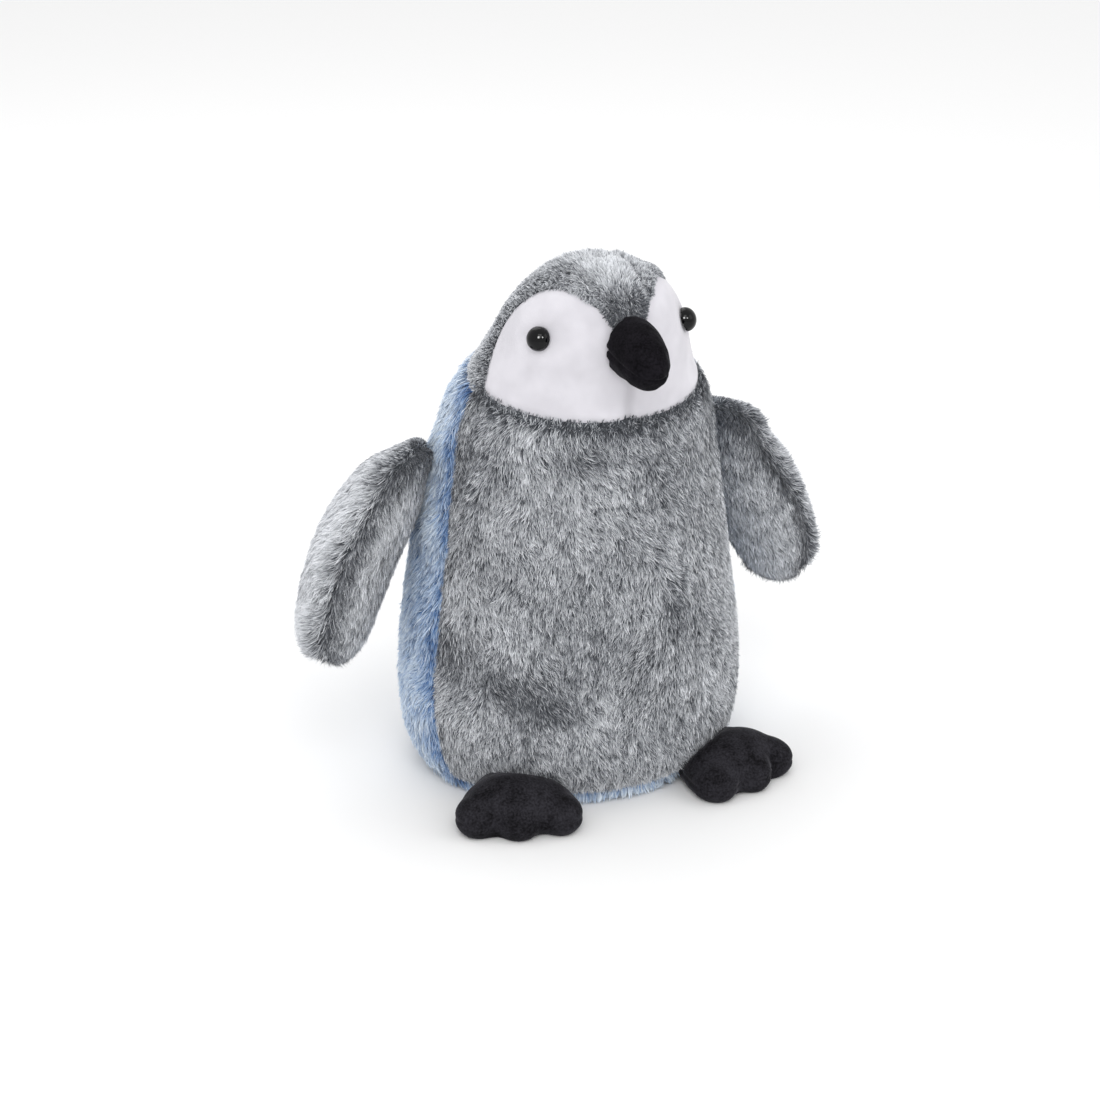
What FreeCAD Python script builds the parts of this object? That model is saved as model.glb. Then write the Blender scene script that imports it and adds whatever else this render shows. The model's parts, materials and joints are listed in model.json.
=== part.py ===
import FreeCAD, Part
import Sketcher
import math
import os

# A weighted plush penguin that stands on a flat base.  Millimetres, +Z up, the penguin faces -Y,
# its left side is +X, and the origin is the middle of the base on the floor.

# Horizontal levels of the sewn body, from the floor to the top of the head:
# name, height, half width (X), half depth (Y), and how far the middle sits from the Y axis' zero.
BODY_LEVELS = [
    ("base", 0.0, 71.0, 63.0, 0.0),
    ("hem", 9.0, 80.5, 72.0, 0.0),
    ("seat", 28.0, 87.0, 79.0, 0.0),
    ("hip", 58.0, 88.0, 80.0, 0.0),
    ("belly", 88.0, 85.0, 77.0, 0.0),
    ("waist", 118.0, 81.0, 73.5, 0.0),
    ("chest", 148.0, 77.0, 69.5, -1.0),
    ("shoulder", 176.0, 72.0, 65.0, -4.0),
    ("collar", 203.0, 64.0, 59.0, -12.0),
    ("jaw", 221.0, 55.5, 52.5, -19.0),
    ("cheek", 236.0, 50.5, 47.5, -25.0),
    ("brow", 250.0, 45.5, 43.0, -28.5),
    ("crown", 261.0, 38.5, 36.5, -31.0),
    ("poll", 270.0, 28.5, 27.0, -32.0),
    ("peak", 276.0, 12.0, 11.0, -32.0),
]

# The pellet bag that lies on the base: name, height, half width, half depth, middle.
BAG_LEVELS = [
    ("bag_floor", 5.2, 52.0, 45.0, 0.0),
    ("bag_lower", 10.0, 66.0, 58.0, 0.0),
    ("bag_upper", 30.0, 68.0, 60.0, 0.0),
    ("bag_shoulder", 40.0, 60.0, 52.0, 0.0),
    ("bag_top", 44.0, 40.0, 34.0, 0.0),
]

# The wing, along its curved middle line: name, share of the length, half chord, half thickness.
WING_STATIONS = [
    ("wing_root", 0.0, 15.0, 5.0),
    ("wing_arm", 0.10, 19.0, 11.0),
    ("wing_elbow", 0.28, 23.0, 16.5),
    ("wing_middle", 0.52, 24.0, 18.5),
    ("wing_blade", 0.76, 22.5, 17.5),
    ("wing_hand", 0.92, 17.5, 14.0),
    ("wing_finger", 0.985, 11.0, 8.5),
    ("wing_tip", 1.0, 4.0, 3.0),
]

# The beak, from the face to its tip: name, how far forward (-Y), height, half width, half height.
BEAK_STATIONS = [
    ("beak_root", 60.0, 241.5, 13.0, 14.5),
    ("beak_bridge", 75.0, 241.5, 13.2, 14.8),
    ("beak_middle", 86.0, 239.0, 11.8, 13.4),
    ("beak_hook", 94.5, 234.5, 9.0, 10.4),
    ("beak_tip", 98.5, 231.0, 4.5, 5.8),
]

# The pads of a foot, seen from its rear seam: name, forward, sideways, turn outward,
# half width, half length, half height.
FOOT_PADS = [
    ("foot_pad", 17.0, 0.0, 0.0, 27.0, 19.5, 16.0),
    ("toe_inner", 24.5, -19.0, -15.0, 11.5, 13.5, 9.5),
    ("toe_middle", 27.5, 0.0, 0.0, 12.0, 14.5, 10.5),
    ("toe_outer", 24.5, 19.0, 15.0, 11.5, 13.5, 9.5),
]

# Every other driving dimension: alias, value, what it is.
DIMENSIONS = [
    ("pile_wall", 4.5, "fur fabric, backing and flattened pile"),
    ("face_recess", 2.0, "how far the short white pile sits inside the long fur"),
    ("velvet_wall", 1.2, "thickness of the velvet on beak and feet"),
    ("stuffing_gap", 0.3, "room between fabric and stuffing"),
    ("seam_gap", 0.2, "room between two sewn edges"),
    ("clearance", 0.4, "room between the body and a part sewn onto it"),
    ("hem_seam_height", 8.0, "seam between the base and the side panels"),
    ("side_seam_place", -24.0, "Y of the seam between front and back panels, at the floor"),
    ("side_seam_lean", -2.3, "degrees from upright; the side seam runs back as it climbs"),
    ("neck_seam_height", 216.0, "height of the neck seam over the origin"),
    ("neck_seam_tilt", 11.0, "degrees the neck seam drops towards the front"),
    ("gusset_half_width", 13.0, "half of the strip that runs over the head"),
    ("cheek_direction", 45.0, "degrees from straight ahead that a cheek looks"),
    ("cheek_outline_forward", 20.0, "how far ahead of the origin the cheek region starts"),
    ("cheek_outline_across", 14.0, "middle of the cheek outline, across"),
    ("cheek_outline_height", 215.0, "middle of the cheek outline, up"),
    ("cheek_outline_tall", 54.0, "long half axis of the cheek outline"),
    ("cheek_outline_wide", 40.0, "short half axis of the cheek outline"),
    ("cheek_lean", 3.0, "degrees the cheek outline leans forward"),
    ("chin_top", 236.0, "top of the white chin under the beak"),
    ("chin_half_width", 22.0, "half width of the chin"),
    ("eye_across", 38.5, "X of an eye's seat"),
    ("eye_forward", 50.7, "how far forward an eye's seat is"),
    ("eye_height", 244.5, "height of an eye's seat"),
    ("eye_direction", 58.0, "degrees from straight ahead that an eye looks"),
    ("eye_pitch", 17.0, "degrees an eye looks up"),
    ("eye_radius", 6.0, "radius of the eye's dome"),
    ("eye_dome", 5.2, "how far the dome stands out"),
    ("eye_rim", 0.8, "straight rim under the dome"),
    ("shank_radius", 2.0, "radius of the eye's shank"),
    ("shank_length", 13.0, "length of the eye's shank"),
    ("shank_hole", 2.3, "radius of the hole in the cheek"),
    ("washer_radius", 7.0, "radius of the eye's lock washer"),
    ("washer_thickness", 1.2, "thickness of the lock washer"),
    ("washer_hole", 2.05, "radius of the lock washer's hole"),
    ("washer_depth", 5.8, "how far behind the seat the washer is"),
    ("mouth_height", 246.0, "height of the mouth seam at the face"),
    ("mouth_drop", 17.5, "degrees the mouth seam drops forward"),
    ("wing_length", 115.0, "length of the wing along its middle line"),
    ("wing_seat_across", 76.4, "X of the wing's root"),
    ("wing_seat_back", 13.0, "Y of the wing's root"),
    ("wing_seat_height", 173.0, "height of the wing's root"),
    ("wing_sweep", -3.0, "degrees the wing points forward"),
    ("wing_roll", 30.0, "degrees the leading edge turns outward"),
    ("left_wing_spread", 46.0, "degrees from straight down, left wing's root"),
    ("left_wing_curl", 14.0, "degrees from straight down, left wing's tip"),
    ("right_wing_spread", 46.0, "degrees from straight down, right wing's root"),
    ("right_wing_curl", 6.0, "degrees from straight down, right wing's tip"),
    ("wing_wall", 2.5, "fur fabric of the wing"),
    ("foot_seat_across", 53.5, "X of the foot's rear seam"),
    ("foot_seat_forward", 53.8, "how far forward the foot's rear seam is"),
    ("foot_seat_height", 8.0, "height of the foot's seam"),
    ("foot_splay", 20.0, "degrees a foot points outward"),
    ("foot_floor", 0.3, "height of a sole over the floor"),
    ("foot_lift", 12.0, "degrees the toes can lift"),
    ("foot_droop", 12.0, "degrees the toes can hang down"),
    ("bag_wall", 1.0, "cloth of the pellet bag"),
    ("bag_gap", 0.8, "room the stuffing leaves around the pellet bag"),
    ("pocket_gap", 1.0, "room the stuffing leaves around an eye's washer"),
]

LEFT, RIGHT = 1, -1  # the sign of X on the penguin's own left and right
SIDES = [("left", LEFT), ("right", RIGHT)]
FAR = 400.0  # longer than the whole object, for the tools that only divide
CIRCLE_CENTRE = 3  # how a sketch names the middle of a circle
SKETCH_ORIGIN = (-1, 1)  # how a sketch names its own origin

doc = FreeCAD.newDocument("plush_penguin")
dims = doc.addObject("Spreadsheet::Sheet", "dims")
sheet_rows = []
finished = []


def add_dimension(alias, value, meaning):
    """Write one driving dimension into the sheet."""
    row = len(sheet_rows) + 1
    dims.set(f"A{row}", meaning)
    dims.set(f"B{row}", str(value))
    dims.setAlias(f"B{row}", alias)
    sheet_rows.append(alias)


def fill_sheet():
    """Put every table above into the sheet, one alias to a cell."""
    for name, height, half_width, half_depth, middle in BODY_LEVELS + BAG_LEVELS:
        add_dimension(f"{name}_height", height, f"height of the {name} level")
        add_dimension(f"{name}_half_width", half_width, f"half width at the {name}")
        add_dimension(f"{name}_half_depth", half_depth, f"half depth at the {name}")
        add_dimension(f"{name}_middle", middle, f"Y of the middle at the {name}")
    for name, share, half_chord, half_thickness in WING_STATIONS:
        add_dimension(f"{name}_share", share, f"share of the wing at {name}")
        add_dimension(f"{name}_half_chord", half_chord, f"half chord at {name}")
        add_dimension(f"{name}_half_thickness", half_thickness, f"half thickness at {name}")
    for name, forward, height, half_width, half_height in BEAK_STATIONS:
        add_dimension(f"{name}_forward", forward, f"how far forward {name} is")
        add_dimension(f"{name}_height", height, f"height of {name}")
        add_dimension(f"{name}_half_width", half_width, f"half width at {name}")
        add_dimension(f"{name}_half_height", half_height, f"half height at {name}")
    for name, forward, sideways, turn, half_width, half_length, half_height in FOOT_PADS:
        add_dimension(f"{name}_forward", forward, f"how far forward {name} is")
        add_dimension(f"{name}_sideways", sideways, f"how far outward {name} is")
        add_dimension(f"{name}_turn", turn, f"degrees {name} points outward")
        add_dimension(f"{name}_half_width", half_width, f"half width of {name}")
        add_dimension(f"{name}_half_length", half_length, f"half length of {name}")
        add_dimension(f"{name}_half_height", half_height, f"half height of {name}")
    for alias, value, meaning in DIMENSIONS:
        add_dimension(alias, value, meaning)
    doc.recompute()


def size(alias):
    """Read one driving dimension back from the sheet."""
    return float(dims.get(alias))


def bind(thing, **expressions):
    """Bind properties to sheet expressions; two underscores stand for a dot."""
    for name, expression in expressions.items():
        thing.setExpression(name.replace("__", "."), expression)


def loft(name, sections):
    """One smooth closed solid through the sections."""
    solid = doc.addObject("Part::Loft", name)
    solid.Sections = sections
    solid.Solid = True
    return solid


def boolean(kind, name, base, tool):
    """A two-shape boolean: kind is Cut or Common."""
    result = doc.addObject(f"Part::{kind}", name)
    result.Base = base
    result.Tool = tool
    return result


def fuse(name, shapes):
    """One solid from overlapping shapes."""
    result = doc.addObject("Part::MultiFuse", name)
    result.Shapes = shapes
    return result


def common(name, shapes):
    """What all the shapes share."""
    result = doc.addObject("Part::MultiCommon", name)
    result.Shapes = shapes
    return result


def box(name, length, width, height, corner, rotation=FreeCAD.Rotation()):
    """A dividing box; corner is its lowest corner before it turns about the origin."""
    block = doc.addObject("Part::Box", name)
    block.Length = length
    block.Width = width
    block.Height = height
    block.Placement = FreeCAD.Placement(rotation.multVec(FreeCAD.Vector(*corner)), rotation)
    return block


def sub_part(thing, label):
    """Name a finished piece; the label is also its file's name."""
    thing.Label = label
    finished.append(thing)
    return thing


def mirrored(piece):
    """The left twin of a right piece."""
    twin = doc.addObject("Part::Mirroring", piece.Label.replace("right", "left") + "_twin")
    twin.Source = piece
    twin.Normal = FreeCAD.Vector(1, 0, 0)
    return sub_part(twin, piece.Label.replace("right", "left"))


def level_stack(name, levels, inset):
    """A loft through horizontal ellipses, every one drawn in by inset, ends included."""
    first, last = levels[0][0], levels[-1][0]
    span = f"(dims.{last}_height - dims.{first}_height)"
    sections = []
    for level in levels:
        ring = doc.addObject("Part::Ellipse", f"{name}_{level[0]}")
        rise = f"(dims.{level[0]}_height - dims.{first}_height)"
        squeeze = f"({span} - 2 * ({inset})) / {span}"
        bind(
            ring,
            MajorRadius=f"dims.{level[0]}_half_width - ({inset})",
            MinorRadius=f"dims.{level[0]}_half_depth - ({inset})",
            Placement__Base__y=f"dims.{level[0]}_middle",
            Placement__Base__z=f"dims.{first}_height + ({inset}) + {rise} * {squeeze}",
        )
        sections.append(ring)
    return loft(name, sections)


def body_tools():
    """The solids that divide the sewn body: above and below seams, front and back."""
    half_gap = size("seam_gap") / 2
    hem = size("hem_seam_height")
    side = size("side_seam_place")
    tilt = FreeCAD.Rotation(FreeCAD.Vector(1, 0, 0), size("neck_seam_tilt"))
    neck = size("neck_seam_height") * math.cos(math.radians(size("neck_seam_tilt")))
    lean = FreeCAD.Rotation(FreeCAD.Vector(1, 0, 0), size("side_seam_lean"))
    half = FAR / 2
    return {
        "under_hem": box("under_hem", FAR, FAR, half, (-half, -half, hem - half_gap - half)),
        "over_hem": box("over_hem", FAR, FAR, FAR, (-half, -half, hem + half_gap)),
        "under_neck": box("under_neck", FAR, FAR, FAR, (-half, -half, neck - half_gap - FAR), tilt),
        "over_neck": box("over_neck", FAR, FAR, half, (-half, -half, neck + half_gap), tilt),
        "front": box(
            "front_side", FAR, half, FAR, (-half, side - half_gap - half, -half / 2), lean
        ),
        "back_right": box(
            "back_right_side",
            half,
            half,
            FAR,
            (-half_gap - half, side + half_gap, -half / 2),
            lean,
        ),
    }


def fabric_piece(label, solid, inside, regions, openings=()):
    """A panel of the sewn body: what the solid shares with the regions, hollowed last."""
    piece = common(f"{label}_blank", [solid, *regions])
    for index, opening in enumerate(openings):
        piece = boolean("Cut", f"{label}_opened_{index}", piece, opening)
    return boolean("Cut", f"{label}_cut", piece, inside)


def body_panels(outside, inside, tools):
    """The base disc, the grey front and the two blue back panels."""
    sub_part(fabric_piece("base_panel", outside, inside, [tools["under_hem"]]), "base_panel")
    for label, region in (("front_panel", "front"), ("back_panel_right", "back_right")):
        regions = [tools["over_hem"], tools["under_neck"], tools[region]]
        piece = sub_part(fabric_piece(label, outside, inside, regions), label)
    mirrored(piece)


def cheek_region(name, side, growth):
    """A cheek's outline pushed outward through the face, with the chin below the beak."""
    turn = math.radians(size("cheek_direction"))
    outward = FreeCAD.Vector(side * math.sin(turn), -math.cos(turn), 0)
    across = FreeCAD.Vector(-side * math.cos(turn), -math.sin(turn), 0)
    lean = math.radians(size("cheek_lean"))
    up = FreeCAD.Vector(0, 0, 1)
    long_axis = across * math.sin(lean) + up * math.cos(lean)
    short_axis = across * math.cos(lean) - up * math.sin(lean)
    outline = doc.addObject("Part::Ellipse", f"{name}_outline")
    bind(
        outline,
        MajorRadius=f"dims.cheek_outline_tall + ({growth})",
        MinorRadius=f"dims.cheek_outline_wide + ({growth})",
    )
    outline.Placement = FreeCAD.Placement(
        outward * size("cheek_outline_forward")
        + across * size("cheek_outline_across")
        + up * size("cheek_outline_height"),
        FreeCAD.Rotation(long_axis, short_axis, long_axis.cross(short_axis), "XYZ"),
    )
    prism = doc.addObject("Part::Extrusion", f"{name}_prism")
    prism.Base = outline
    prism.Dir = outward
    prism.LengthFwd = FAR / 4
    prism.Solid = True
    chin_half = size("chin_half_width") + growth
    chin = box(
        f"{name}_chin",
        chin_half,
        FAR / 4,
        FAR / 4,
        (0 if side == LEFT else -chin_half, -FAR / 4 - size("gusset_half_width"), 0),
    )
    bind(chin, Height=f"dims.chin_top + ({growth})")
    return fuse(name, [prism, chin])


def right_half(name, from_middle):
    """Everything on the penguin's right, beyond from_middle."""
    return box(name, FAR / 2, FAR, FAR, (-from_middle - FAR / 2, -FAR / 2, -FAR / 4))


def head_panels(outside, face, inside, tools):
    """The strip over the head, the two grey head sides and the two white cheeks."""
    half_gap = size("seam_gap") / 2
    strip_half = size("gusset_half_width")
    neck = tools["over_neck"]
    openings = [
        cheek_region(f"cheek_opening_{word}", side, size("seam_gap")) for word, side in SIDES
    ]
    strip = box("strip_region", 2 * strip_half, FAR, FAR, (-strip_half, -FAR / 2, 0))
    sub_part(fabric_piece("head_gusset", outside, inside, [neck, strip], openings), "head_gusset")
    beyond = right_half("beyond_strip", strip_half + half_gap)
    label = "head_side_right"
    mirrored(
        sub_part(fabric_piece(label, outside, inside, [neck, beyond], openings[-1:]), label)
    )
    outline = cheek_region("cheek_right_region", RIGHT, 0.0)
    half = right_half("cheek_half", half_gap)
    hole = eye_hole("shank_hole", RIGHT, "dims.shank_hole", size("shank_length"))
    label = "cheek_right"
    mirrored(
        sub_part(fabric_piece(label, face, inside, [neck, outline, half], [hole]), label)
    )


def eye_placement(side, depth=0.0):
    """An eye's seat on the cheek, local +Z pointing out of the face; depth goes inward."""
    turn = math.radians(size("eye_direction"))
    pitch = math.radians(size("eye_pitch"))
    outward = FreeCAD.Vector(side * math.sin(turn), -math.cos(turn), math.tan(pitch)).normalize()
    seat = FreeCAD.Vector(side * size("eye_across"), -size("eye_forward"), size("eye_height"))
    return FreeCAD.Placement(
        seat - outward * depth, FreeCAD.Rotation(FreeCAD.Vector(0, 0, 1), outward)
    )


def eye_hole(name, side, radius, depth):
    """A round tool through the seat, reaching depth behind it."""
    tool = doc.addObject("Part::Cylinder", name)
    bind(tool, Radius=radius)
    tool.Height = depth + size("eye_radius")
    tool.Placement = eye_placement(side, depth)
    return tool


def eyes():
    """Two domed eyes on shanks, each locked by a washer inside the head."""
    for word, side in SIDES:
        dome = doc.addObject("Part::Ellipsoid", f"eye_dome_{word}")
        bind(dome, Radius1="dims.eye_dome", Radius2="dims.eye_radius", Radius3="dims.eye_radius")
        dome.Angle1 = 0
        dome.Placement.Base.z = size("eye_rim")
        rim = doc.addObject("Part::Cylinder", f"eye_rim_{word}")
        bind(rim, Radius="dims.eye_radius", Height="dims.eye_rim")
        shank = doc.addObject("Part::Cylinder", f"eye_shank_{word}")
        bind(shank, Radius="dims.shank_radius", Height="dims.shank_length + dims.eye_rim / 2")
        shank.Placement.Base.z = -size("shank_length")
        eye = fuse(f"eye_{word}_body", [dome, rim, shank])
        eye.Placement = eye_placement(side)
        sub_part(eye, f"eye_{word}")
        washer = lock_washer(word)
        washer.Placement = eye_placement(side, size("washer_depth"))
        sub_part(washer, f"eye_washer_{word}")


def lock_washer(word):
    """A flat ring that is pressed onto the shank."""
    body = doc.addObject("PartDesign::Body", f"washer_{word}_body")
    sketch = body.newObject("Sketcher::SketchObject", f"washer_{word}_sketch")
    floor = [face for face in body.Origin.OriginFeatures if face.Role == "XY_Plane"][0]
    sketch.AttachmentSupport = [(floor, "")]
    sketch.MapMode = "FlatFace"
    for circle, alias in enumerate(("washer_radius", "washer_hole")):
        centre = FreeCAD.Vector(0, 0, 0)
        sketch.addGeometry(Part.Circle(centre, FreeCAD.Vector(0, 0, 1), size(alias)))
        at_origin = Sketcher.Constraint("Coincident", circle, CIRCLE_CENTRE, *SKETCH_ORIGIN)
        sketch.addConstraint(at_origin)
        radius = sketch.addConstraint(Sketcher.Constraint("Radius", circle, size(alias)))
        sketch.renameConstraint(radius, alias)
        sketch.setExpression(f"Constraints.{alias}", f"dims.{alias}")
    pad = body.newObject("PartDesign::Pad", f"washer_{word}_pad")
    pad.Profile = sketch
    pad.setExpression("Length", "dims.washer_thickness")
    return body


def beak_loft(name, inset):
    """The beak's round mass, leaning forward and down, drawn in by inset."""
    sections = []
    forward = [size(f"{station[0]}_forward") for station in BEAK_STATIONS]
    height = [size(f"{station[0]}_height") for station in BEAK_STATIONS]
    for index, station in enumerate(BEAK_STATIONS):
        before, after = max(index - 1, 0), min(index + 1, len(BEAK_STATIONS) - 1)
        drop = math.atan2(height[before] - height[after], forward[after] - forward[before])
        tall = FreeCAD.Vector(0, -math.sin(drop), math.cos(drop))
        wide = FreeCAD.Vector(1, 0, 0)
        half_width = size(f"{station[0]}_half_width")
        half_height = size(f"{station[0]}_half_height")
        upright = half_height > half_width
        long_axis, short_axis = (tall, wide) if upright else (wide, tall)
        ring = doc.addObject("Part::Ellipse", f"{name}_{station[0]}")
        long_size, short_size = ("height", "width") if upright else ("width", "height")
        bind(
            ring,
            MajorRadius=f"dims.{station[0]}_half_{long_size} - ({inset})",
            MinorRadius=f"dims.{station[0]}_half_{short_size} - ({inset})",
        )
        pull = inset if index == len(BEAK_STATIONS) - 1 else 0.0
        ring.Placement = FreeCAD.Placement(
            FreeCAD.Vector(0, -forward[index] + pull, height[index]),
            FreeCAD.Rotation(long_axis, short_axis, long_axis.cross(short_axis), "XYZ"),
        )
        sections.append(ring)
    return loft(name, sections)


def beak(body_clearance, wide_clearance):
    """Upper and lower velvet halves around their own stuffing, sewn onto the face."""
    half_gap = size("seam_gap") / 2
    whole = boolean("Cut", "beak_on_face", beak_loft("beak_outside", 0.0), body_clearance)
    hollow = beak_loft("beak_inside", size("velvet_wall"))
    velvet = boolean("Cut", "beak_velvet", whole, hollow)
    drop = FreeCAD.Rotation(FreeCAD.Vector(1, 0, 0), size("mouth_drop"))
    seat = FreeCAD.Vector(0, -size("beak_root_forward"), size("mouth_height"))
    for label, start in (("beak_upper", half_gap), ("beak_lower", -half_gap - FAR / 4)):
        half = doc.addObject("Part::Box", f"{label}_region")
        half.Length = FAR / 4
        half.Width = FAR / 4
        half.Height = FAR / 4
        corner = FreeCAD.Vector(-FAR / 8, -FAR / 8, start)
        half.Placement = FreeCAD.Placement(seat + drop.multVec(corner), drop)
        sub_part(boolean("Common", f"{label}_cut", velvet, half), label)
    core = beak_loft("beak_core", size("velvet_wall") + size("stuffing_gap"))
    sub_part(boolean("Cut", "beak_stuffing_cut", core, wide_clearance), "beak_stuffing")


def wing_station(word, side, share):
    """Middle, chord direction and thickness direction of the wing at a share of its length."""
    spread = math.radians(size(f"{word}_wing_spread"))
    curl = math.radians(size(f"{word}_wing_curl"))
    sweep = math.radians(size("wing_sweep"))
    roll = math.radians(size("wing_roll"))
    up = FreeCAD.Vector(0, 0, 1)
    outward = FreeCAD.Vector(side * math.cos(sweep), -math.sin(sweep), 0)
    ahead = FreeCAD.Vector(-side * math.sin(sweep), -math.cos(sweep), 0)
    angle = spread + (curl - spread) * share
    bend_radius = size("wing_length") / (curl - spread)
    root = FreeCAD.Vector(
        side * size("wing_seat_across"), size("wing_seat_back"), size("wing_seat_height")
    )
    run = outward * (math.cos(spread) - math.cos(angle)) - up * (math.sin(angle) - math.sin(spread))
    above = outward * math.cos(angle) + up * math.sin(angle)
    chord = ahead * math.cos(roll) + above * math.sin(roll)
    thickness = above * math.cos(roll) - ahead * math.sin(roll)
    return root + run * bend_radius, chord, thickness


def wing_loft(name, word, side, inset):
    """The wing's puffy blade, drawn in by inset all round."""
    sections = []
    length = size("wing_length")
    for station in WING_STATIONS:
        share = size(f"{station[0]}_share") * (1 - 2 * inset / length) + inset / length
        middle, chord, thickness = wing_station(word, side, share)
        ring = doc.addObject("Part::Ellipse", f"{name}_{station[0]}")
        bind(
            ring,
            MajorRadius=f"dims.{station[0]}_half_chord - ({inset})",
            MinorRadius=f"dims.{station[0]}_half_thickness - ({inset})",
        )
        ring.Placement = FreeCAD.Placement(
            middle, FreeCAD.Rotation(chord, thickness, chord.cross(thickness), "XYZ")
        )
        sections.append(ring)
    return loft(name, sections)


def wing_outer_region(name, word, side, offset):
    """Everything on the outer side of the wing's two edges, starting offset away from them."""
    wide = FAR / 4
    sections = []
    for station in WING_STATIONS:
        middle, chord, thickness = wing_station(word, side, size(f"{station[0]}_share"))
        sheet = doc.addObject("Part::Plane", f"{name}_{station[0]}")
        sheet.Length = wide
        sheet.Width = wide
        sheet.Placement = FreeCAD.Placement(
            middle - chord * (wide / 2) + thickness * offset,
            FreeCAD.Rotation(chord, thickness, chord.cross(thickness), "XYZ"),
        )
        sections.append(sheet)
    return loft(name, sections)


def wings():
    """Each wing: an outer and an inner fur panel sewn edge to edge around its stuffing."""
    half_gap = size("seam_gap") / 2
    wall = size("wing_wall")
    for word, side in SIDES:
        whole = wing_loft(f"wing_{word}_outside", word, side, 0.0)
        hollow = wing_loft(f"wing_{word}_inside", word, side, wall)
        fabric = boolean("Cut", f"wing_{word}_fabric", whole, hollow)
        outer = wing_outer_region(f"wing_{word}_over", word, side, half_gap)
        inner = wing_outer_region(f"wing_{word}_under", word, side, -half_gap)
        sub_part(
            boolean("Common", f"wing_{word}_outer_cut", fabric, outer), f"wing_{word}_outer"
        )
        sub_part(boolean("Cut", f"wing_{word}_inner_cut", fabric, inner), f"wing_{word}_inner")
        core = wing_loft(f"wing_{word}_core", word, side, wall + size("stuffing_gap"))
        sub_part(core, f"wing_{word}_stuffing")


def foot_mass(name, inset):
    """The right instep and its three toes as one padded shape, flat underneath."""
    seat = FreeCAD.Vector(-size("foot_seat_across"), -size("foot_seat_forward"), 0)
    splay = FreeCAD.Rotation(FreeCAD.Vector(0, 0, 1), -size("foot_splay"))
    frame = FreeCAD.Placement(seat, splay)
    pads = []
    for pad in FOOT_PADS:
        lobe = doc.addObject("Part::Ellipsoid", f"{name}_{pad[0]}")
        bind(
            lobe,
            Radius1=f"dims.{pad[0]}_half_height - ({inset})",
            Radius2=f"dims.{pad[0]}_half_width - ({inset})",
            Radius3=f"dims.{pad[0]}_half_length - ({inset})",
        )
        sideways = -size(f"{pad[0]}_sideways")
        place = FreeCAD.Vector(sideways, -size(f"{pad[0]}_forward"), size("foot_seat_height"))
        turn = FreeCAD.Rotation(FreeCAD.Vector(0, 0, 1), -size(f"{pad[0]}_turn"))
        lobe.Placement = frame.multiply(FreeCAD.Placement(place, turn))
        pads.append(lobe)
    floor = size("foot_floor") + inset
    over_floor = box(f"{name}_floor", FAR, FAR, FAR, (-FAR / 2, -FAR / 2, floor))
    return boolean("Common", name, fuse(f"{name}_pads", pads), over_floor)


def foot_room(body_clearance):
    """Everything the body sweeps, seen from the right foot as it swings on its rear seam."""
    seat = FreeCAD.Vector(
        -size("foot_seat_across"), -size("foot_seat_forward"), size("foot_seat_height")
    )
    splay = math.radians(size("foot_splay"))
    seam_line = FreeCAD.Vector(math.cos(splay), -math.sin(splay), 0)
    room = body_clearance
    for name, angle in (("lift", size("foot_lift")), ("droop", -size("foot_droop"))):
        swung = level_stack(f"foot_{name}_body", BODY_LEVELS, -size("clearance"))
        turn = FreeCAD.Rotation(seam_line, angle)
        swung.Placement = FreeCAD.Placement(FreeCAD.Vector(0, 0, 0), turn, seat)
        room = fuse(f"foot_{name}_room", [room, swung])
    return room


def feet(body_clearance):
    """Each foot: a velvet top and a velvet sole, seamed at mid height, around stuffing."""
    half_gap = size("seam_gap") / 2
    seam = size("foot_seat_height")
    wall = size("velvet_wall")
    half = FAR / 2
    room = foot_room(body_clearance)
    whole = boolean("Cut", "foot_clear", foot_mass("foot_outside", 0.0), room)
    fabric = boolean("Cut", "foot_fabric", whole, foot_mass("foot_inside", wall))
    over = box("foot_top_region", FAR, FAR, FAR, (-half, -half, seam + half_gap))
    under = box("foot_sole_region", FAR, FAR, FAR, (-half, -half, seam - half_gap - FAR))
    mirrored(sub_part(boolean("Common", "foot_top_cut", fabric, over), "foot_right_top"))
    mirrored(sub_part(boolean("Common", "foot_sole_cut", fabric, under), "foot_right_sole"))
    core = foot_mass("foot_core", wall + size("stuffing_gap"))
    mirrored(
        sub_part(boolean("Cut", "foot_core_clear", core, room), "foot_right_stuffing")
    )


def filling(stuffing):
    """The pellet bag on the base, its pellets, and the stuffing that fills the rest."""
    gap = size("stuffing_gap")
    bag = level_stack("bag_outside", BAG_LEVELS, 0.0)
    cloth = size("bag_wall")
    bag_hollow = level_stack("bag_inside", BAG_LEVELS, cloth)
    bag_room = level_stack("bag_room", BAG_LEVELS, -size("bag_gap"))
    sub_part(boolean("Cut", "bag_cut", bag, bag_hollow), "pellet_bag")
    sub_part(level_stack("pellet_mass", BAG_LEVELS, cloth + gap), "pellet_fill")
    pockets = [bag_room]
    for word, side in SIDES:
        depth = size("shank_length") + 2 * size("pocket_gap")
        radius = "dims.washer_radius + dims.pocket_gap"
        pockets.append(eye_hole(f"washer_pocket_{word}", side, radius, depth))
    sub_part(boolean("Cut", "stuffing_cut", stuffing, fuse("pockets", pockets)), "body_stuffing")


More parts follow.
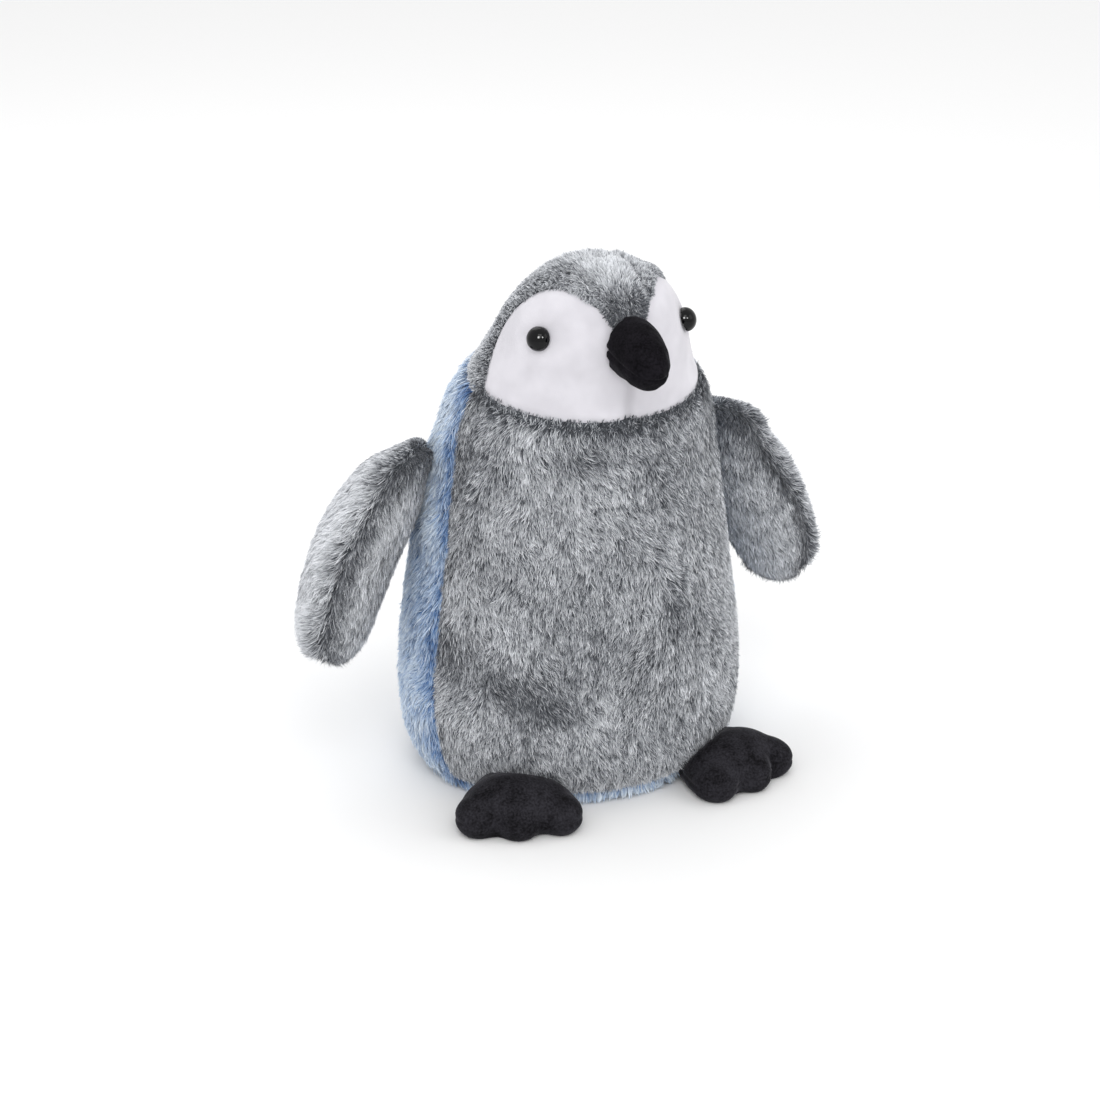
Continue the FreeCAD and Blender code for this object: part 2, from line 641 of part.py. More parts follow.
def build():
    """Make every piece of the penguin."""
    wall = size("pile_wall")
    outside = level_stack("body_outside", BODY_LEVELS, 0.0)
    face = level_stack("face_outside", BODY_LEVELS, size("face_recess"))
    inside = level_stack("body_inside", BODY_LEVELS, wall)
    stuffing = level_stack("stuffing_mass", BODY_LEVELS, wall + size("stuffing_gap"))
    clear = level_stack("body_clearance", BODY_LEVELS, -size("clearance"))
    beak_room = -size("clearance") - size("velvet_wall")
    wide_clear = level_stack("beak_stuffing_clearance", BODY_LEVELS, beak_room)
    tools = body_tools()
    body_panels(outside, inside, tools)
    head_panels(outside, face, inside, tools)
    eyes()
    beak(clear, wide_clear)
    wings()
    feet(clear)
    filling(stuffing)


def check():
    """Stop unless every object was made and every piece is one valid solid."""
    for thing in doc.Objects:
        if "Invalid" in thing.State or "Error" in thing.State:
            raise RuntimeError(f"{thing.Name} was not made: {thing.State}")
    for piece in finished:
        shape = piece.Shape
        if shape.isNull() or not shape.isValid() or len(shape.Solids) != 1:
            raise RuntimeError(f"{piece.Label} is not one valid solid")


def write():
    """One STEP file for each piece."""
    os.makedirs("parts", exist_ok=True)
    for piece in finished:
        piece.Shape.exportStep(f"parts/{piece.Label}.step")


fill_sheet()
build()
doc.recompute()
check()
write()
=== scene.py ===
import json
import math

import bpy
import numpy as np
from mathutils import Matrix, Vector
from mathutils.bvhtree import BVHTree
from mathutils.kdtree import KDTree


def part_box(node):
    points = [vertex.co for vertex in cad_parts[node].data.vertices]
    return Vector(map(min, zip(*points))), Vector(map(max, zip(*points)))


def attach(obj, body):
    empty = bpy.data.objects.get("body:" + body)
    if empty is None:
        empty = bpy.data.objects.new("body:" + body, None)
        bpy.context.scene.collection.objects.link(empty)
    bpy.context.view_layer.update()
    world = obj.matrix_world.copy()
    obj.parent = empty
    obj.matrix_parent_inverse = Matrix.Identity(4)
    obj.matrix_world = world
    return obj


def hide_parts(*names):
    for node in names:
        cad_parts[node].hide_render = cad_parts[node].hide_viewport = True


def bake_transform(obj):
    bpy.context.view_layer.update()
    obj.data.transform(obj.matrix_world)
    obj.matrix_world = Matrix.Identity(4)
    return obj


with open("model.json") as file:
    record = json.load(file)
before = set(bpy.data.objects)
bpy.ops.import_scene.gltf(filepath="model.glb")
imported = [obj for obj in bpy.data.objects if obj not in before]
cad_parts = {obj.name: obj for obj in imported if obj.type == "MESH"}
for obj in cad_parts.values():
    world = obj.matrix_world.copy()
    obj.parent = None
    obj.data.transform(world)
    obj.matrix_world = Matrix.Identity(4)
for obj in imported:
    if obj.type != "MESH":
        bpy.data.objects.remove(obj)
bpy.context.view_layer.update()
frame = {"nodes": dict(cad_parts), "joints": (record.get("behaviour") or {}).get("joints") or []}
nodes = frame["nodes"]
joints = {joint["name"]: joint for joint in frame["joints"]}
SIDES = ("left", "right")
UP = np.array([0.0, 0.0, 1.0])
FORWARD = np.array([0.0, -1.0, 0.0])
MM = 0.001

BODY_PANELS = ["front_panel", "back_panel_left", "back_panel_right", "base_panel"]
HEAD_PANELS = ["head_gusset", "head_side_left", "head_side_right"]
CHEEKS = ["cheek_left", "cheek_right"]

BODY_VOXEL = 3.2 * MM
WING_VOXEL = 3.0 * MM
BEAK_VOXEL = 1.6 * MM
FOOT_VOXEL = 2.0 * MM
CLOTH_FRAMES = 20

# The share of all strands that is grown, and the most strands that one piece holds.
FUR_SHARE = 1.0
MOST_STRANDS = 39000

# How deep the skin lies under the outside of its pile.
PILE_ON_BODY = 1.6 * MM
PILE_ON_HEAD = 4.0 * MM

# The pressure that blows the cloth skins up, and how far each kind may swell.
PRESSURE = 3.0
BODY_PUFF = 1.5 * MM
WING_PUFF = 1.5 * MM
BEAK_PUFF = 0.4 * MM
FOOT_PUFF = 1.4 * MM

rng = np.random.default_rng(17)


# ------------------------------------------------------------------ small helpers


def unit(vectors):
    """Every row made one long."""
    return vectors / np.maximum(np.linalg.norm(vectors, axis=-1, keepdims=True), 1e-9)


def smoothstep(low, high, value):
    """0 below low, 1 above high, smooth between."""
    t = np.clip((value - low) / (high - low), 0, 1)
    return t * t * (3 - 2 * t)


def nearness(distance, reach):
    """1 where the distance is 0, falling in a bell curve to almost nothing at twice the reach."""
    return np.exp(-((distance / reach) ** 2))


def flattened(directions, normals):
    """Directions with their part along the normals taken out."""
    return directions - normals * (directions * normals).sum(1, keepdims=True)


class Waves:
    """A smooth random field, about -1 to 1, whose bumps are about `size` metres across."""

    def __init__(self, seed, size, count=14):
        source = np.random.default_rng(seed)
        directions = unit(source.normal(size=(count, 3)))
        self.waves = directions * (2 * math.pi / size) * source.uniform(0.6, 1.5, (count, 1))
        self.phases = source.uniform(0, 2 * math.pi, count)

    def __call__(self, points):
        total = np.sin(points @ self.waves.T + self.phases).sum(1)
        return total / math.sqrt(len(self.phases) / 2) / 1.6


def mesh_points(mesh):
    """A mesh's vertices as an array."""
    points = np.empty(len(mesh.vertices) * 3, np.float32)
    mesh.vertices.foreach_get("co", points)
    return points.reshape(-1, 3).astype(float)


def mesh_normals(mesh):
    """A mesh's vertex normals as an array."""
    normals = np.empty(len(mesh.vertices) * 3, np.float32)
    mesh.vertices.foreach_get("normal", normals)
    return normals.reshape(-1, 3).astype(float)


def mesh_triangles(mesh):
    """A mesh's triangles as an array of vertex numbers."""
    mesh.calc_loop_triangles()
    triangles = np.empty(len(mesh.loop_triangles) * 3, np.int32)
    mesh.loop_triangles.foreach_get("vertices", triangles)
    return triangles.reshape(-1, 3)


def set_points(mesh, points):
    """Move a mesh's vertices."""
    mesh.vertices.foreach_set("co", points.astype(np.float32).ravel())
    mesh.update()


def new_object(name, mesh):
    """A mesh object in the scene, at the origin."""
    thing = bpy.data.objects.new(name, mesh)
    bpy.context.scene.collection.objects.link(thing)
    return thing


def apply_modifiers(thing):
    """Bake the modifiers into the mesh."""
    seen = thing.evaluated_get(bpy.context.evaluated_depsgraph_get())
    mesh = bpy.data.meshes.new_from_object(seen)
    thing.modifiers.clear()
    thing.data = mesh


def tree_of(mesh):
    """A search tree of a mesh's triangles."""
    return BVHTree.FromPolygons(mesh_points(mesh).tolist(), mesh_triangles(mesh).tolist())


def joined_copy(name, names):
    """One mesh made of the CAD nodes, as the shell that a skin is drawn over."""
    points, faces = [], []
    for node in names:
        mesh = nodes[node].data
        start = sum(len(block) for block in points)
        points.append(mesh_points(mesh))
        faces.append(mesh_triangles(mesh) + start)
    mesh = bpy.data.meshes.new(name)
    mesh.from_pydata(np.concatenate(points).tolist(), [], np.concatenate(faces).tolist())
    return new_object(name, mesh)


def keep_largest_shell(thing):
    """Drop every loose shell but the biggest: the inner faces of the hollow fabric."""
    mesh = thing.data
    owner = np.arange(len(mesh.vertices))
    edges = np.empty(len(mesh.edges) * 2, np.int32)
    mesh.edges.foreach_get("vertices", edges)
    edges = edges.reshape(-1, 2)
    while True:
        lowest = np.minimum(owner[edges[:, 0]], owner[edges[:, 1]])
        before = owner.copy()
        np.minimum.at(owner, edges[:, 0], lowest)
        np.minimum.at(owner, edges[:, 1], lowest)
        owner = owner[owner]
        if (owner == before).all():
            break
    points = mesh_points(mesh)
    reach = {shell: np.ptp(points[owner == shell], axis=0).sum() for shell in np.unique(owner)}
    if len(reach) == 1:
        return
    keep = owner == max(reach, key=reach.get)
    number = np.cumsum(keep) - 1
    faces = [number[list(p.vertices)].tolist() for p in mesh.polygons if keep[p.vertices[0]]]
    smaller = bpy.data.meshes.new(thing.name)
    smaller.from_pydata(points[keep].tolist(), [], faces)
    thing.data = smaller


def skin_over(name, names, voxel, smoothing=6):
    """A smooth closed skin over the CAD nodes."""
    thing = joined_copy(name, names)
    remesh = thing.modifiers.new("remesh", "REMESH")
    remesh.mode = "VOXEL"
    remesh.voxel_size = voxel
    smooth = thing.modifiers.new("smooth", "SMOOTH")
    smooth.factor = 0.5
    smooth.iterations = smoothing
    apply_modifiers(thing)
    keep_largest_shell(thing)
    return thing


def inflate(thing, pressure, reach, stiffness=8.0):
    """Blow the skin up as sewn cloth; no point moves further than reach."""
    rest = mesh_points(thing.data)
    cloth = thing.modifiers.new("cloth", "CLOTH")
    settings = cloth.settings
    settings.quality = 5
    settings.mass = 0.2
    settings.tension_stiffness = stiffness
    settings.compression_stiffness = stiffness
    settings.shear_stiffness = stiffness * 0.6
    settings.bending_stiffness = 0.3
    settings.use_pressure = True
    settings.uniform_pressure_force = pressure
    settings.shrink_min = -0.04
    settings.effector_weights.gravity = 0
    cloth.collision_settings.use_collision = False
    scene = bpy.context.scene
    for number in range(1, CLOTH_FRAMES + 1):
        scene.frame_set(number)
    apply_modifiers(thing)
    moved = mesh_points(thing.data) - rest
    length = np.linalg.norm(moved, axis=1, keepdims=True)
    set_points(thing.data, rest + moved * np.minimum(1, reach / np.maximum(length, 1e-9)))
    scene.frame_set(1)


def subdivide(thing, levels=1):
    """Catmull-Clark subdivision, applied."""
    modifier = thing.modifiers.new("subdivide", "SUBSURF")
    modifier.levels = levels
    modifier.render_levels = levels
    apply_modifiers(thing)


def labels_by_node(points, names):
    """For each point, the number of the nearest CAD node in names."""
    trees = [tree_of(nodes[node].data) for node in names]
    gaps = np.array([[tree.find_nearest(Vector(point))[3] for tree in trees] for point in points])
    return gaps.argmin(1)


def face_centres(mesh):
    """The centre of each face."""
    centres = np.empty(len(mesh.polygons) * 3, np.float32)
    mesh.polygons.foreach_get("center", centres)
    return centres.reshape(-1, 3).astype(float)


def settle_labels(mesh, labels, rounds=4):
    """Give a face that sticks out of its panel the label of three of its four neighbours."""
    owners = {}
    for face in mesh.polygons:
        for key in face.edge_keys:
            owners.setdefault(key, []).append(face.index)
    pairs = np.array([found for found in owners.values() if len(found) == 2])
    for _ in range(rounds):
        votes = np.zeros((len(labels), labels.max() + 1))
        np.add.at(votes, (pairs[:, 0], labels[pairs[:, 1]]), 1)
        np.add.at(votes, (pairs[:, 1], labels[pairs[:, 0]]), 1)
        winner = votes.argmax(1)
        labels = np.where(votes.max(1) >= 3, winner, labels)
    return labels


def straighten_seams(thing, labels, passes=30):
    """Turn the stepped borders between labels into smooth seam lines. Returns their edges."""
    mesh = thing.data
    sides = {}
    for face in mesh.polygons:
        for key in face.edge_keys:
            sides.setdefault(key, []).append(labels[face.index])
    border = np.array([key for key, found in sides.items() if len(set(found)) > 1])
    points = mesh_points(mesh)
    links = np.bincount(border.ravel(), minlength=len(points))[:, None]
    for _ in range(passes):
        total = np.zeros_like(points)
        np.add.at(total, border[:, 0], points[border[:, 1]])
        np.add.at(total, border[:, 1], points[border[:, 0]])
        points = np.where(links > 0, 0.5 * points + 0.5 * total / np.maximum(links, 1), points)
    set_points(mesh, points)
    return border


def seam_distance(thing, border):
    """For each vertex, how far it is from the nearest seam edge."""
    points = mesh_points(thing.data)
    tree = KDTree(len(border))
    for number, (a, b) in enumerate(border):
        tree.insert((points[a] + points[b]) / 2, number)
    tree.balance()
    return np.array([tree.find(point)[2] for point in points])


def panel_labels(thing, names):
    """The number of the panel in names that each face belongs to."""
    mesh = thing.data
    return settle_labels(mesh, labels_by_node(face_centres(mesh), names))


def split(thing, labels, names):
    """Cut the skin into one mesh for each label. Returns {node name: object}."""
    mesh = thing.data
    points = mesh_points(mesh)
    normals = mesh_normals(mesh)
    faces = [tuple(face.vertices) for face in mesh.polygons]
    pieces = {}
    for number, node in enumerate(names):
        chosen = [faces[i] for i in np.flatnonzero(labels == number)]
        used = np.unique([v for face in chosen for v in face])
        place = {int(v): i for i, v in enumerate(used)}
        part = bpy.data.meshes.new(f"{node}_skin")
        part.from_pydata(points[used].tolist(), [], [[place[v] for v in f] for f in chosen])
        part.shade_smooth()
        part.normals_split_custom_set_from_vertices(normals[used].tolist())
        pieces[node] = new_object(f"{node}_skin", part)
    bpy.data.objects.remove(thing)
    return pieces


# ------------------------------------------------------------------ materials

TONE_ALONG_STRAND = 0.55
# Painted shade in the chin seam's fold: how far it reaches either side of the middle, and the share
# of colour kept at its darkest.
CHIN_FOLD_REACH = 4.5 * MM
CHIN_FOLD_SHADE = 0.84


class Nodes:
    """Shorthand for building a material's node tree."""

    def __init__(self, name):
        self.material = bpy.data.materials.new(name)
        self.material.use_nodes = True
        self.tree = self.material.node_tree
        self.shader = self.tree.nodes["Principled BSDF"]

    def add(self, kind, **values):
        node = self.tree.nodes.new(kind)
        for key, value in values.items():
            if key in node.inputs:
                node.inputs[key].default_value = value
            else:
                setattr(node, key, value)
        return node

    def link(self, start, end):
        self.tree.links.new(start, end)

    def set(self, **values):
        for key, value in values.items():
            self.shader.inputs[key.replace("_", " ")].default_value = value

    def noise(self, scale, detail):
        """Noise fixed to the piece, as a number from 0 to 1."""
        place = self.add("ShaderNodeTexCoord")
        noise = self.add("ShaderNodeTexNoise", Scale=scale, Detail=detail)
        self.link(place.outputs["Object"], noise.inputs["Vector"])
        return noise.outputs["Fac"]

    def mottle(self, value, stops):
        """Colour the piece by a value."""
        colours = self.ramp(stops)
        self.link(value, colours.inputs["Fac"])
        self.link(colours.outputs["Color"], self.shader.inputs["Base Color"])

    def bump(self, height, strength, distance):
        """Raise the surface by a value."""
        bump = self.add("ShaderNodeBump", Strength=strength, Distance=distance)
        self.link(height, bump.inputs["Height"])
        self.link(bump.outputs["Normal"], self.shader.inputs["Normal"])

    def ramp(self, stops):
        """A colour ramp with a stop at each (place, colour)."""
        node = self.add("ShaderNodeValToRGB")
        elements = node.color_ramp.elements
        while len(elements) < len(stops):
            elements.new(0.5)
        for element, (place, colour) in zip(elements, stops):
            element.position = place
            element.color = (*colour, 1)
        return node


def srgb(red, green, blue):
    """A colour given as 0-255 screen values, made linear."""
    return tuple(
        c / 12.92 if c <= 0.04045 else ((c + 0.055) / 1.055) ** 2.4
        for c in (red / 255, green / 255, blue / 255)
    )


def fur_material(name, stops, root_shift, spread):
    """Frosted pile: dark at the root, pale at the tip; darker strands stay dark further out."""
    made = Nodes(name)
    layer = made.add("ShaderNodeUVMap", uv_map="OFBake")
    axes = made.add("ShaderNodeSeparateXYZ")
    made.link(layer.outputs["UV"], axes.inputs["Vector"])
    tone = made.add("ShaderNodeMath", operation="MULTIPLY_ADD")
    tone.inputs[1].default_value = spread
    tone.inputs[2].default_value = root_shift
    made.link(axes.outputs["X"], tone.inputs[0])
    shade = made.add("ShaderNodeMath", operation="MULTIPLY_ADD", use_clamp=True)
    shade.inputs[1].default_value = TONE_ALONG_STRAND
    made.link(axes.outputs["Y"], shade.inputs[0])
    made.link(tone.outputs[0], shade.inputs[2])
    made.mottle(shade.outputs[0], stops)
    made.set(Roughness=0.75, Specular_IOR_Level=0.18, Sheen_Weight=0.12, Sheen_Roughness=0.5)
    return made.material


def backing_material(name, dark, pale):
    """The matted undercoat that shows between the strands."""
    made = Nodes(name)
    matted = made.noise(420.0, 4.0)
    made.mottle(matted, [(0.3, dark), (0.7, pale)])
    made.bump(matted, 0.6, 0.8 * MM)
    made.set(Roughness=0.9, Specular_IOR_Level=0.1)
    return made.material


def white_material():
    """Short white pile: a fine even nap, softly mottled, with painted shade in the chin seam's fold.
    """
    made = Nodes("white_short_pile")
    colours = made.ramp([(0.35, srgb(201, 199, 205)), (0.65, srgb(212, 210, 216))])
    made.link(made.noise(60.0, 2.0), colours.inputs["Fac"])
    place = made.add("ShaderNodeTexCoord")
    axes = made.add("ShaderNodeSeparateXYZ")
    made.link(place.outputs["Object"], axes.inputs["Vector"])
    beside = made.add("ShaderNodeMath", operation="ABSOLUTE")
    made.link(axes.outputs["X"], beside.inputs[0])
    fold = made.add("ShaderNodeMapRange", interpolation_type="SMOOTHSTEP")
    fold.inputs["From Max"].default_value = CHIN_FOLD_REACH
    fold.inputs["To Min"].default_value = CHIN_FOLD_SHADE
    made.link(beside.outputs[0], fold.inputs["Value"])
    shaded = made.add("ShaderNodeVectorMath", operation="SCALE")
    made.link(colours.outputs["Color"], shaded.inputs[0])
    made.link(fold.outputs["Result"], shaded.inputs["Scale"])
    made.link(shaded.outputs["Vector"], made.shader.inputs["Base Color"])
    made.bump(made.noise(1500.0, 3.0), 0.35, 0.3 * MM)
    made.set(Roughness=0.9, Specular_IOR_Level=0.15, Sheen_Weight=0.3, Sheen_Roughness=0.5)
    return made.material


def velvet_material(name, dark, pale, sheen):
    """Black velvet: deep and matt, with a soft grey sheen and a brushed, speckled nap."""
    made = Nodes(name)
    half_specks = made.add("ShaderNodeMath", operation="MULTIPLY")
    half_specks.inputs[1].default_value = 0.5
    made.link(made.noise(900.0, 2.0), half_specks.inputs[0])
    mean = made.add("ShaderNodeMath", operation="MULTIPLY_ADD")
    mean.inputs[1].default_value = 0.5
    made.link(made.noise(90.0, 3.0), mean.inputs[0])
    made.link(half_specks.outputs[0], mean.inputs[2])
    made.mottle(mean.outputs[0], [(0.38, dark), (0.62, pale)])
    made.bump(made.noise(1800.0, 2.0), 0.5, 0.3 * MM)
    made.set(Roughness=0.9, Specular_IOR_Level=0.06, Sheen_Weight=sheen, Sheen_Roughness=0.3)
    made.set(Sheen_Tint=(0.55, 0.55, 0.6, 1))
    return made.material


def gloss_material():
    """Polished black resin for the eyes, with a trace of variation in its polish."""
    made = Nodes("eye_gloss")
    polish = made.add("ShaderNodeMapRange")
    polish.inputs["To Min"].default_value = 0.02
    polish.inputs["To Max"].default_value = 0.05
    made.link(made.noise(200.0, 2.0), polish.inputs["Value"])
    made.link(polish.outputs["Result"], made.shader.inputs["Roughness"])
    made.set(Base_Color=(*srgb(5, 5, 7), 1), Specular_IOR_Level=0.22)
    return made.material


def plain_material(name, dark, pale, scale, roughness):
    """A simple mottled finish for a piece that sits out of sight."""
    made = Nodes(name)
    made.mottle(made.noise(scale, 3.0), [(0.3, dark), (0.7, pale)])
    made.set(Roughness=roughness)
    return made.material


GREY_FUR = fur_material(
    "grey_fur",
    [
        (0.0, srgb(40, 42, 47)),
        (0.30, srgb(84, 87, 93)),
        (0.58, srgb(170, 173, 178)),
        (1.0, srgb(238, 240, 244)),
    ],
    -0.10,
    0.72,
)
BLUE_FUR = fur_material(
    "blue_fur",
    [
        (0.0, srgb(44, 72, 122)),
        (0.30, srgb(86, 122, 172)),
        (0.58, srgb(170, 192, 220)),
        (1.0, srgb(226, 236, 246)),
    ],
    -0.04,
    0.72,
)
GREY_BACKING_TONES = (srgb(38, 41, 45), srgb(88, 92, 97))
BLUE_BACKING_TONES = (srgb(30, 55, 105), srgb(80, 115, 170))
FIBRE = plain_material("fibre_stuffing", srgb(222, 221, 216), srgb(243, 243, 240), 160, 0.95)
BEAK_VELVET = velvet_material("beak_velvet", srgb(4, 3, 6), srgb(24, 22, 27), 0.10)
FOOT_VELVET = velvet_material("foot_velvet", srgb(13, 12, 15), srgb(46, 45, 50), 0.22)


# ------------------------------------------------------------------ fur

# How strands of one pile differ: lowest and highest share of the pile's own size or angle.
LENGTH_SPREAD = (0.65, 1.2)
RISE_SPREAD = (0.6, 1.3)
REST_SPREAD = (0.2, 1.6)
WIDTH_SPREAD = (0.7, 1.3)

# Spread of a clump's turn as a share of a strand's, of a strand's roll, and of the tones.
CLUMP_TURN_SHARE = 0.8
ROLL_SPREAD = 0.45
TONE_SPREAD = 0.21
CLUMP_TONE_SPREAD = 0.10
DARKEST, PALEST = 0.02, 0.98

# A strand has four joints, from its root under the skin to its tip.
ROOT_DEPTH = 0.4 * MM
SEGMENT_SHARES = (0.36, 0.34, 0.30)
CLUMP_PULLS = (0.12, 0.38, 0.7)
TAPER = (1.0, 1.0, 0.75)

# Its mesh: two points at each joint and one at the tip, joined by two quads and a triangle.
STRAND_POINTS = 7
STRAND_CORNERS = np.array([0, 1, 3, 2, 2, 3, 5, 4, 4, 5, 6])
FACE_STARTS = np.array([0, 4, 8])
MAP_SIDES = 0.012 * np.array([-1, 1, -1, 1, -1, 1, 0])
MAP_HEIGHTS = np.array([0.02, 0.02, 0.36, 0.36, 0.7, 0.7, 0.98])


class Pile:
    """How one fabric's fur grows: sizes in metres, angles in degrees, clump in strands."""

    def __init__(self, length, width, rise, rest, clump, gather, jitter):
        self.length = length
        self.width = width
        self.rise = rise
        self.rest = rest
        self.clump = clump
        self.gather = gather
        self.jitter = jitter


class Coat:
    """A pile with its material, and what gives its lie, tone, length and thickness at points."""

    def __init__(self, pile, material, comb, tone, length_at=None, weight=None):
        self.pile = pile
        self.material = material
        self.comb = comb
        self.tone = tone
        self.length_at = length_at
        self.weight = weight


BODY_PILE = Pile(
    length=5.6 * MM, width=0.39 * MM, rise=38, rest=15, clump=6, gather=0.32, jitter=15
)
HEAD_PILE = Pile(
    length=5.4 * MM, width=0.40 * MM, rise=40, rest=18, clump=6, gather=0.32, jitter=11
)
BLUE_PILE = Pile(
    length=8.0 * MM, width=0.44 * MM, rise=36, rest=14, clump=14, gather=0.5, jitter=12
)
WING_PILE = Pile(
    length=7.2 * MM, width=0.42 * MM, rise=34, rest=12, clump=6, gather=0.34, jitter=13
)


def scatter(skin, count, weight=None):
    """Random points on the skin with their normals, spread evenly by area."""
    mesh = skin.data
    points = mesh_points(mesh)
    normals = mesh_normals(mesh)
    triangles = mesh_triangles(mesh)
    a, b, c = (points[triangles[:, i]] for i in range(3))
    area = np.linalg.norm(np.cross(b - a, c - a), axis=1) / 2
    if weight is not None:
        area = area * weight((a + b + c) / 3)
    chosen = rng.choice(len(triangles), count, p=area / area.sum())
    share = rng.random((count, 2))
    share[share.sum(1) > 1] = 1 - share[share.sum(1) > 1]
    u, v = share[:, :1], share[:, 1:]
    spots = a[chosen] * (1 - u - v) + b[chosen] * u + c[chosen] * v
    corners = triangles[chosen]
    facing = (
        normals[corners[:, 0]] * (1 - u - v) + normals[corners[:, 1]] * u + normals[corners[:, 2]] * v
    )
    return spots, unit(facing)


def turned(directions, normals, degrees):
    """Directions turned about the normals."""
    angle = np.radians(degrees)[:, None]
    return directions * np.cos(angle) + np.cross(normals, directions) * np.sin(angle)


def clumped(roots, count_each):
    """For each root, the number of the root that leads its clump."""
    leaders = rng.choice(len(roots), max(1, len(roots) // count_each), replace=False)
    tree = KDTree(len(leaders))
    for leader in leaders:
        tree.insert(roots[leader], int(leader))
    tree.balance()
    return np.array([tree.find(root)[1] for root in roots])


def grow(name, skin, count, coat):
    """Cover a skin with fur, in as many layers as keep each piece to at most MOST_STRANDS strands."""
    count = int(count * FUR_SHARE)
    layers = math.ceil(count / MOST_STRANDS)
    return [grow_layer(f"{name}_{'abcdef'[i]}", skin, count // layers, coat) for i in range(layers)]


def grow_layer(name, skin, count, coat):
    """One layer of flat tapered strands, combed and gathered into clumps."""
    pile = coat.pile
    roots, normals = scatter(skin, count, coat.weight)
    directions = unit(flattened(coat.comb(roots, normals), normals))
    directions = turned(directions, normals, rng.normal(0, pile.jitter, count))
    leader = clumped(roots, pile.clump)
    clump_turn = rng.normal(0, pile.jitter * CLUMP_TURN_SHARE, count)
    directions = turned(directions, normals, clump_turn[leader])
    length = pile.length * rng.uniform(*LENGTH_SPREAD, count)
    if coat.length_at is not None:
        length = length * coat.length_at(roots)
    length = length[:, None]
    rise = np.radians(pile.rise * rng.uniform(*RISE_SPREAD, count))[:, None]
    rest = np.radians(pile.rest * rng.uniform(*REST_SPREAD, count))[:, None]
    strand = [roots - normals * ROOT_DEPTH]
    for share, angle in zip(SEGMENT_SHARES, (rise, (rise + rest) / 2, rest)):
        step = (directions * np.cos(angle) + normals * np.sin(angle)) * length * share
        strand.append(strand[-1] + step)
    for number, pull in enumerate(CLUMP_PULLS, 1):
        towards = strand[number][leader] - strand[number]
        strand[number] = strand[number] + towards * pull * pile.gather
    across = unit(np.cross(directions, normals))
    roll = rng.normal(0, ROLL_SPREAD, count)[:, None]
    across = unit(across * np.cos(roll) + normals * np.sin(roll))
    width = pile.width * rng.uniform(*WIDTH_SPREAD, count)[:, None] / 2
    rows = []
    for joint, taper in zip(strand, TAPER):
        rows += [joint - across * width * taper, joint + across * width * taper]
    rows.append(strand[-1])
    tones = coat.tone(roots) + rng.normal(0, TONE_SPREAD, count)
    tones = tones + rng.normal(0, CLUMP_TONE_SPREAD, count)[leader]
    tones = np.clip(tones, DARKEST, PALEST)
    thing = new_object(name, strand_mesh(name, np.stack(rows, 1), tones))
    thing.data.materials.append(coat.material)
    return thing


def strand_mesh(name, points, tones):
    """The strands' mesh; each strand's tone and height along it go into the bake map."""
    count = len(points)
    first = np.arange(count)[:, None]
    corners = first * STRAND_POINTS + STRAND_CORNERS
    starts = first * len(STRAND_CORNERS) + FACE_STARTS
    mesh = bpy.data.meshes.new(name)
    mesh.vertices.add(count * STRAND_POINTS)
    mesh.vertices.foreach_set("co", points.astype(np.float32).ravel())
    mesh.loops.add(corners.size)
    mesh.loops.foreach_set("vertex_index", corners.astype(np.int32).ravel())
    mesh.polygons.add(starts.size)
    mesh.polygons.foreach_set("loop_start", starts.astype(np.int32).ravel())
    mesh.update(calc_edges=True)
    layer = mesh.uv_layers.new(name="OFBake")
    heights = np.broadcast_to(MAP_HEIGHTS[STRAND_CORNERS], corners.shape)
    places = np.stack([tones[:, None] + MAP_SIDES[STRAND_CORNERS], heights], -1)
    layer.data.foreach_set("uv", np.clip(places, 0, 1).astype(np.float32).ravel())
    mesh.shade_smooth()
    return mesh


# ------------------------------------------------------------------ the sewn body

BLUE_PANELS = ["back_panel_left", "back_panel_right", "base_panel"]
STRANDS = {
    "front_panel": 117000,
    "back_panel_left": 62000,
    "back_panel_right": 62000,
    "base_panel": 12000,
    "head_gusset": 26000,
    "head_side_left": 26000,
    "head_side_right": 26000,
}

# Depth and reach of what is pressed into the skin: seams, the eyes' seats and the chin's fold.
SEAM_CREASE, SEAM_REACH = 1.6 * MM, 2.2 * MM
EYE_SEAT, EYE_SEAT_REACH = 1.2 * MM, 8 * MM
CHIN_FOLD, CHIN_FOLD_WIDTH = 2.4 * MM, 2.4 * MM

# The fold is pressed into the chin only, which lies around and below the beak.
CHIN_HALF_WIDTH = 12 * MM
CHIN_BEHIND_FACE = 5 * MM
CHIN_ABOVE_BEAK, CHIN_BELOW_BEAK = 10 * MM, 30 * MM
NECK_HEIGHT, BROW_HEIGHT = 0.20, 0.26

# Turns of the fur in degrees, for each of the fields below.
BODY_SWIRL, BODY_RUFFLE, PARTING_TURN = 26, 24, 90
HEAD_SWIRL, HEAD_RUFFLE = 14, 20

# Strands that fall over the beak and over the cheeks: how far away they root, and their share.
BEAK_FRINGE_REACH, BEAK_FRINGE_SHARE = 0.011, 0.85
CHEEK_FRINGE_REACH, CHEEK_FRINGE_SHARE = 3.5 * MM, 0.65
CLIPPED_REACH, CLIPPED_SHARE = 0.004, 0.45

# Tones of the fur, from 0 dark to 1 pale, and what is added or taken away in places.
GREY_TONE, HEAD_PALER, BLUE_TONE = 0.44, 0.28, 0.62
GREY_MOTTLE, BLUE_MOTTLE = 0.12, 0.18
GREY_FLECKS, BLUE_FLECKS = 0.12, 0.10
CHEEK_SHADE, CHEEK_SHADE_REACH = 0.30, 0.0055
BEAK_SHADE, BEAK_SHADE_REACH = 0.80, 0.0145
SIDE_SEAM_SHADE, SIDE_SEAM_REACH = 0.55, 0.006


def middle_of(node):
    """The middle of a CAD node's box."""
    low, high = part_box(node)
    return np.array((low + high) / 2)


